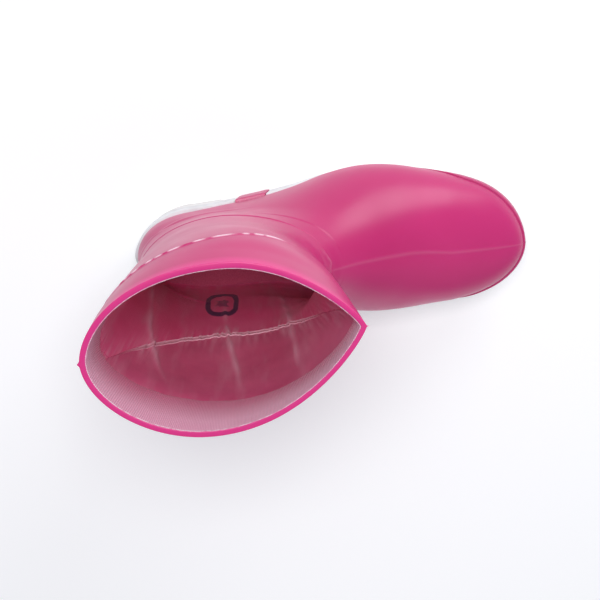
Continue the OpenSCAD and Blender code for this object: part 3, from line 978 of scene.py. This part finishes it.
def addPrint(tree, colour):
    # a printed ring with a worn bar, on the lining of the inner side
    v = satinValues
    point = objectPoint(tree)
    axes = axesOf(tree, point)

    def do(operation, first, second=None):
        return calculate(tree, operation, first, second)

    def away(axis, middle, size):
        return do("ABSOLUTE", do("DIVIDE", do("SUBTRACT", axes[axis], middle), size))
    across, up, square = away("X", *v["printX"]), away("Z", *v["printZ"]), v["printSquare"]
    reach = do("POWER", do("ADD", do("POWER", across, square), do("POWER", up, square)), 1 / square)
    wornAndHighlight = noiseTexture(tree, point, 260, 3)
    edge = do("ABSOLUTE", do("SUBTRACT", reach, 0.88))
    ringMask = ramp(tree, do("ADD", edge, do("MULTIPLY", wornAndHighlight, 0.10)), 0.17, 0.23, 1, 0)
    bar = do("MAXIMUM", up, do("MULTIPLY", across, 0.75))
    barMask = ramp(tree, do("ADD", bar, do("MULTIPLY", wornAndHighlight, 0.5)), 0.50, 0.56, 1, 0)
    mask = do("MAXIMUM", ringMask, do("MULTIPLY", barMask, 0.6))
    inside = ramp(tree, axes["Y"], -0.004, -0.010, 0, 0.96)
    return colourMix(tree, do("MULTIPLY", mask, inside), colour, v["print"])


def tapeMaterial():
    v = tapeValues
    material, tree, shader = newMaterial("seamTape")
    fuzz = noiseTexture(tree, objectPoint(tree), 600, 4, 0.7)
    pale = calculate(tree, "MULTIPLY", paintMaskOf(tree), ramp(tree, fuzz, 0.3, 0.7, 0.75, 1.1), clamp=True)
    colour = colourMix(tree, pale, v["hiddenColour"], v["shownColour"])
    tree.links.new(colour, shader.inputs["Base Color"])
    shader.inputs["Roughness"].default_value = 0.6
    bump(tree, shader, fuzz, 0.0002, 0.6)
    return material


# the plain materials: two colours, the scale of their flecks, and roughness
plainValues = {
    "footbedCloth": ((0.62, 0.080, 0.190), (0.70, 0.110, 0.230), 900, 0.7),
    "fibreBoard": ((0.45, 0.33, 0.20), (0.55, 0.42, 0.28), 300, 0.8),
    "coreFoam": ((0.60, 0.60, 0.60), (0.75, 0.75, 0.75), 400, 0.7),
}


def plainMaterial(name):
    first, second, scale, roughness = plainValues[name]
    material, tree, shader = newMaterial(name)
    fleck = noiseTexture(tree, objectPoint(tree), scale, 5, 0.6)
    colour = colourMix(tree, ramp(tree, fleck, 0.35, 0.65), first, second)
    tree.links.new(colour, shader.inputs["Base Color"])
    shader.inputs["Roughness"].default_value = roughness
    bump(tree, shader, fleck, 0.0002, 0.6)
    return material


def dress(name, material):
    piece = bpy.data.objects[name]
    piece.data.materials.clear()
    piece.data.materials.append(material)


def dressNode(node, material):
    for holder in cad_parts[node].material_slots:
        holder.material = material


# floor and light
studio = {
    "floor": (0.88, 0.88, 0.88), "floorSize": 8, "floorRoughness": 0.9, "floorGlow": 0.20,
    "aim": (0.1, 0, 0.1),
    "world": 0.44, "sky": (0.93, 0.96, 1.06),
    "key": {"place": (0.87, 1.35, 0.50), "size": 0.9, "power": 10},
    "fill": {"place": (0.6, -0.7, 0.9), "size": 1.2, "power": 1},
    "top": {"place": (0.05, 0.42, 1.35), "size": 0.5, "power": 8.5},
}


def areaLight(name, place, size, power):
    data = bpy.data.lights.new(name, "AREA")
    data.shape = "SQUARE"
    data.size = size
    data.energy = power
    light = bpy.data.objects.new(name, data)
    bpy.context.scene.collection.objects.link(light)
    light.location = place
    aim = Vector(studio["aim"]) - Vector(place)
    light.rotation_euler = aim.to_track_quat("-Z", "Y").to_euler()


def makeStudio():
    bpy.ops.object.select_all(action="DESELECT")
    bpy.ops.mesh.primitive_plane_add(size=studio["floorSize"], location=(0, 0, cadLow.z))
    floor = bpy.context.active_object
    floor.name = "floor"
    material, _, shader = newMaterial("floorPaper")
    setSockets(shader, {
        "Base Color": (*studio["floor"], 1), "Roughness": studio["floorRoughness"],
        "Emission Color": (1, 1, 1, 1), "Emission Strength": studio["floorGlow"],
    })
    floor.data.materials.append(material)
    world = bpy.data.worlds.new("studio")
    bpy.context.scene.world = world
    world.use_nodes = True
    background = world.node_tree.nodes["Background"]
    setSockets(background, {"Color": (*studio["sky"], 1), "Strength": studio["world"]})
    for name in ("key", "fill", "top"):
        areaLight(name, **studio[name])
    bpy.context.scene.view_settings.view_transform = "Standard"


makeCamera()
makeStudio()
print("studio ready")
shell = makeShell()
shellTree = BVHTree.FromObject(shell, bpy.context.evaluated_depsgraph_get())
print("shell ready")
makeFoxings(shellTree)
makeBumper(shellTree)
print("sole bands ready")
makeCuff()
makeLegLining()
makeFootLining()
makeSeam()
print("linings ready")
bevelCopy("outsole", "outsole_unit", 0.6)
bevelCopy("footbed", "footbed_pad", 0.8)
print("sole and footbed ready")

pinkPvc = pvcMaterial("pinkPvc", pvcValues["deep"], pvcValues["bright"], True)
dress("shell_moulding", pinkPvc)
dress("tab_outer", pinkPvc)
dress("tab_inner", pinkPvc)
dress("toe_bumper_band", pvcMaterial("bumperPvc", pvcValues["bumperDeep"], pvcValues["bumperBright"], False))
foxing = foxingMaterial()
dress("foxing_rear", foxing)
dress("foxing_front", foxing)
dress("outsole_unit", soleMaterial())
dress("cuff_knit_band", knitMaterial())
dress("leg_lining", satinMaterial("legSatin", satinValues["legDeep"], satinValues["legBright"], False))
# a brighter copy of the satin for the foot: painted light deep in the boot
dress("foot_lining", satinMaterial("footSatinLit", satinValues["footLitDeep"], satinValues["footLitBright"], True))
dress("lining_welt", tapeMaterial())
dress("footbed_pad", plainMaterial("footbedCloth"))
dressNode("insole_board", plainMaterial("fibreBoard"))
dressNode("heel_core", plainMaterial("coreFoam"))
print("materials ready")
